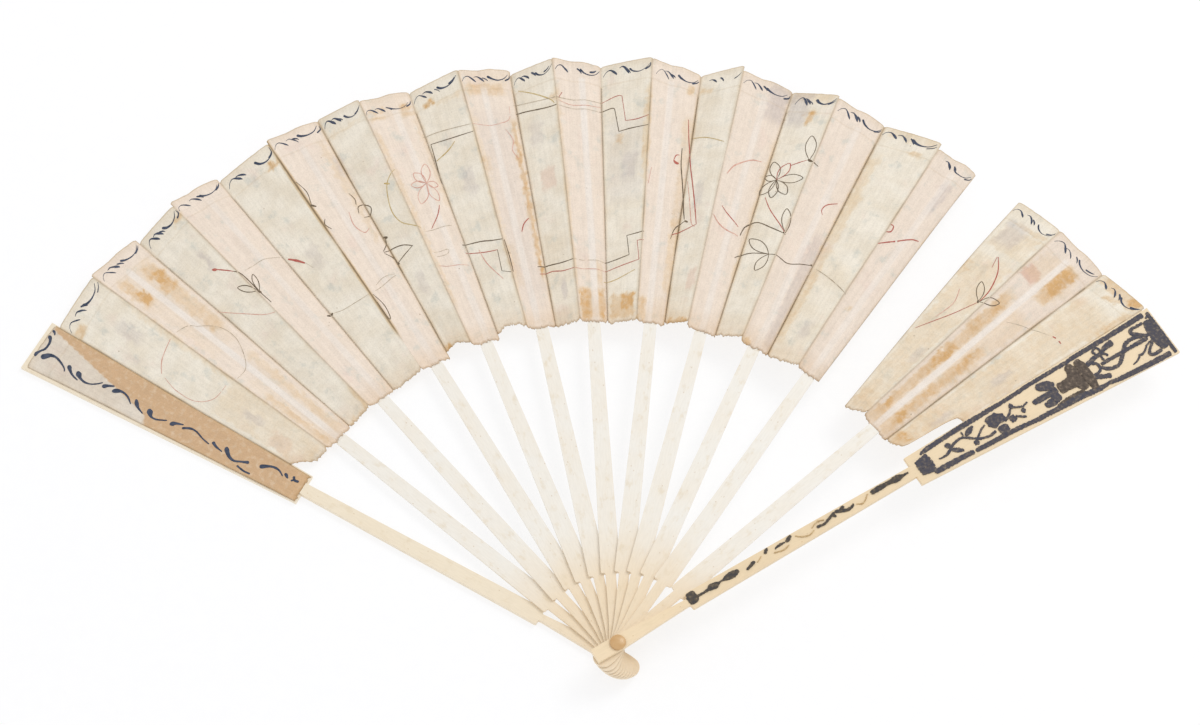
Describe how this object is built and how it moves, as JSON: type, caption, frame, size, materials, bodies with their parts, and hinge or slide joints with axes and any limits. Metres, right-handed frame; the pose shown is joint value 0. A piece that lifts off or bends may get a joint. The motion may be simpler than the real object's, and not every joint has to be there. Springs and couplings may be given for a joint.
{
  "type": "folding fan",
  "caption": "Opened pleated folding fan: thin bone sticks on a rivet between wider guards, an ornamented front guard, and a painted zigzag leaf that is split along a fold.",
  "frame": {"origin": "on the rivet's axis, in the outer face of the left guard, which is the lowest face of the opened fan", "axes": "+Z along the rivet towards the painted side of the leaf, +Y along the middle of the opened fan, +X towards the right guard"},
  "size_m": [0.472, 0.2754, 0.0197],
  "materials": {
    "bone": "polished bone, warm off-white, yellower towards the rivet",
    "leaf": "aged painted paper, matt, with ochre glue stains beside the ribs",
    "horn": "polished honey-coloured horn",
    "rivet_metal": "dull brass"
  },
  "bodies": {
    "left_guard": {"guard_left": "bone", "leaf_end_left": "leaf", "rivet_pin": "rivet_metal", "rivet_washer": "horn"},
    "stick_body_01": {"stick_01": "bone", "leaf_panel_01": "leaf"},
    "stick_body_02": {"stick_02": "bone", "leaf_panel_02": "leaf"},
    "stick_body_03": {"stick_03": "bone", "leaf_panel_03": "leaf"},
    "stick_body_04": {"stick_04": "bone", "leaf_panel_04": "leaf"},
    "stick_body_05": {"stick_05": "bone", "leaf_panel_05": "leaf"},
    "stick_body_06": {"stick_06": "bone", "leaf_panel_06": "leaf"},
    "stick_body_07": {"stick_07": "bone", "leaf_panel_07": "leaf"},
    "stick_body_08": {"stick_08": "bone", "leaf_panel_08": "leaf"},
    "stick_body_09": {"stick_09": "bone", "leaf_panel_09": "leaf"},
    "stick_body_10": {"stick_10": "bone", "leaf_panel_10": "leaf"},
    "stick_body_11": {"stick_11": "bone", "leaf_panel_11": "leaf"},
    "right_guard": {"guard_right": "bone", "leaf_end_right": "leaf"},
    "pleat_body_00": {"leaf_pleat_00": "leaf"},
    "pleat_body_01": {"leaf_pleat_01": "leaf"},
    "pleat_body_02": {"leaf_pleat_02": "leaf"},
    "pleat_body_03": {"leaf_pleat_03": "leaf"},
    "pleat_body_04": {"leaf_pleat_04": "leaf"},
    "pleat_body_05": {"leaf_pleat_05": "leaf"},
    "pleat_body_06": {"leaf_pleat_06": "leaf"},
    "pleat_body_07": {"leaf_pleat_07": "leaf"},
    "pleat_body_08": {"leaf_pleat_08": "leaf"},
    "pleat_body_09": {"leaf_pleat_09": "leaf"},
    "pleat_body_11": {"leaf_pleat_11": "leaf"},
    "pleat_body_torn": {"leaf_pleat_torn": "leaf"}
  },
  "joints": [
    {"name": "fan_fold", "type": "hinge", "parent": "left_guard", "child": "stick_body_10", "pos_m": [0, 0, 0], "axis": [0, 0, 1], "range_deg": [0, 94.9]},
    {"name": "stick_01_turn", "type": "hinge", "parent": "left_guard", "child": "stick_body_01", "pos_m": [0, 0, 0], "axis": [0, 0, 1], "range_deg": [0, 10.5]},
    {"name": "stick_02_turn", "type": "hinge", "parent": "left_guard", "child": "stick_body_02", "pos_m": [0, 0, 0], "axis": [0, 0, 1], "range_deg": [0, 20.1]},
    {"name": "stick_03_turn", "type": "hinge", "parent": "left_guard", "child": "stick_body_03", "pos_m": [0, 0, 0], "axis": [0, 0, 1], "range_deg": [0, 30.8]},
    {"name": "stick_04_turn", "type": "hinge", "parent": "left_guard", "child": "stick_body_04", "pos_m": [0, 0, 0], "axis": [0, 0, 1], "range_deg": [0, 39.8]},
    {"name": "stick_05_turn", "type": "hinge", "parent": "left_guard", "child": "stick_body_05", "pos_m": [0, 0, 0], "axis": [0, 0, 1], "range_deg": [0, 49.3]},
    {"name": "stick_06_turn", "type": "hinge", "parent": "left_guard", "child": "stick_body_06", "pos_m": [0, 0, 0], "axis": [0, 0, 1], "range_deg": [0, 57.9]},
    {"name": "stick_07_turn", "type": "hinge", "parent": "left_guard", "child": "stick_body_07", "pos_m": [0, 0, 0], "axis": [0, 0, 1], "range_deg": [0, 67.2]},
    {"name": "stick_08_turn", "type": "hinge", "parent": "left_guard", "child": "stick_body_08", "pos_m": [0, 0, 0], "axis": [0, 0, 1], "range_deg": [0, 75.6]},
    {"name": "stick_09_turn", "type": "hinge", "parent": "left_guard", "child": "stick_body_09", "pos_m": [0, 0, 0], "axis": [0, 0, 1], "range_deg": [0, 84.7]},
    {"name": "split_side_fold", "type": "hinge", "parent": "stick_body_10", "child": "right_guard", "pos_m": [0, 0, 0], "axis": [0, 0, 1], "range_deg": [0, 23.9]},
    {"name": "stick_11_turn", "type": "hinge", "parent": "stick_body_10", "child": "stick_body_11", "pos_m": [0, 0, 0], "axis": [0, 0, 1], "range_deg": [0, 13.9]},
    {"name": "pleat_00_crease", "type": "hinge", "parent": "left_guard", "child": "pleat_body_00", "pos_m": [-0.11993, 0.07788, 0.00208], "axis": [0.8387, -0.5446, 0], "range_deg": [0, 180], "deforming": ["leaf_pleat_00"]},
    {"name": "pleat_01_crease", "type": "hinge", "parent": "stick_body_01", "child": "pleat_body_01", "pos_m": [-0.10295, 0.09925, 0.00328], "axis": [0.7199, -0.694, 0], "range_deg": [0, 180], "deforming": ["leaf_pleat_01"]},
    {"name": "pleat_02_crease", "type": "hinge", "parent": "stick_body_02", "child": "pleat_body_02", "pos_m": [-0.08536, 0.11473, 0.00447], "axis": [0.5969, -0.8023, 0], "range_deg": [0, 180], "deforming": ["leaf_pleat_02"]},
    {"name": "pleat_03_crease", "type": "hinge", "parent": "stick_body_03", "child": "pleat_body_03", "pos_m": [-0.06246, 0.12864, 0.00568], "axis": [0.4368, -0.8996, 0], "range_deg": [0, 180], "deforming": ["leaf_pleat_03"]},
    {"name": "pleat_04_crease", "type": "hinge", "parent": "stick_body_04", "child": "pleat_body_04", "pos_m": [-0.04217, 0.13664, 0.00688], "axis": [0.2949, -0.9555, 0], "range_deg": [0, 180], "deforming": ["leaf_pleat_04"]},
    {"name": "pleat_05_crease", "type": "hinge", "parent": "stick_body_05", "child": "pleat_body_05", "pos_m": [-0.01904, 0.14173, 0.00808], "axis": [0.1331, -0.9911, 0], "range_deg": [0, 180], "deforming": ["leaf_pleat_05"]},
    {"name": "pleat_06_crease", "type": "hinge", "parent": "stick_body_06", "child": "pleat_body_06", "pos_m": [0.002, 0.14299, 0.00928], "axis": [-0.014, -0.9999, 0], "range_deg": [0, 180], "deforming": ["leaf_pleat_06"]},
    {"name": "pleat_07_crease", "type": "hinge", "parent": "stick_body_07", "child": "pleat_body_07", "pos_m": [0.0252, 0.14076, 0.01047], "axis": [-0.1762, -0.9843, 0], "range_deg": [0, 180], "deforming": ["leaf_pleat_07"]},
    {"name": "pleat_08_crease", "type": "hinge", "parent": "stick_body_08", "child": "pleat_body_08", "pos_m": [0.04561, 0.13553, 0.01167], "axis": [-0.319, -0.9478, 0], "range_deg": [0, 180], "deforming": ["leaf_pleat_08"]},
    {"name": "pleat_09_crease", "type": "hinge", "parent": "stick_body_09", "child": "pleat_body_09", "pos_m": [0.06647, 0.12661, 0.01287], "axis": [-0.4648, -0.8854, 0], "range_deg": [0, 180], "deforming": ["leaf_pleat_09"]},
    {"name": "pleat_torn_crease", "type": "hinge", "parent": "stick_body_11", "child": "pleat_body_torn", "pos_m": [0.10424, 0.09789, 0.0148], "axis": [-0.729, -0.6845, 0], "range_deg": [0, 180], "deforming": ["leaf_pleat_torn"]},
    {"name": "pleat_11_crease", "type": "hinge", "parent": "stick_body_11", "child": "pleat_body_11", "pos_m": [0.11269, 0.08804, 0.01528], "axis": [-0.788, -0.6157, 0], "range_deg": [0, 180], "deforming": ["leaf_pleat_11"]}
  ],
  "couplings": [
    {"joint": "stick_01_turn", "follows": "fan_fold", "ratio": 0.11064},
    {"joint": "stick_02_turn", "follows": "fan_fold", "ratio": 0.2118},
    {"joint": "stick_03_turn", "follows": "fan_fold", "ratio": 0.32455},
    {"joint": "stick_04_turn", "follows": "fan_fold", "ratio": 0.41938},
    {"joint": "stick_05_turn", "follows": "fan_fold", "ratio": 0.51949},
    {"joint": "stick_06_turn", "follows": "fan_fold", "ratio": 0.61011},
    {"joint": "stick_07_turn", "follows": "fan_fold", "ratio": 0.70811},
    {"joint": "stick_08_turn", "follows": "fan_fold", "ratio": 0.79662},
    {"joint": "stick_09_turn", "follows": "fan_fold", "ratio": 0.89251},
    {"joint": "stick_11_turn", "follows": "split_side_fold", "ratio": 0.58158},
    {"joint": "pleat_00_crease", "follows": "fan_fold", "ratio": 1.8967},
    {"joint": "pleat_01_crease", "follows": "fan_fold", "ratio": 1.8967},
    {"joint": "pleat_02_crease", "follows": "fan_fold", "ratio": 1.8967},
    {"joint": "pleat_03_crease", "follows": "fan_fold", "ratio": 1.8967},
    {"joint": "pleat_04_crease", "follows": "fan_fold", "ratio": 1.8967},
    {"joint": "pleat_05_crease", "follows": "fan_fold", "ratio": 1.8967},
    {"joint": "pleat_06_crease", "follows": "fan_fold", "ratio": 1.8967},
    {"joint": "pleat_07_crease", "follows": "fan_fold", "ratio": 1.8967},
    {"joint": "pleat_08_crease", "follows": "fan_fold", "ratio": 1.8967},
    {"joint": "pleat_09_crease", "follows": "fan_fold", "ratio": 1.8967},
    {"joint": "pleat_torn_crease", "follows": "split_side_fold", "ratio": 7.5314},
    {"joint": "pleat_11_crease", "follows": "split_side_fold", "ratio": 7.5314}
  ]
}
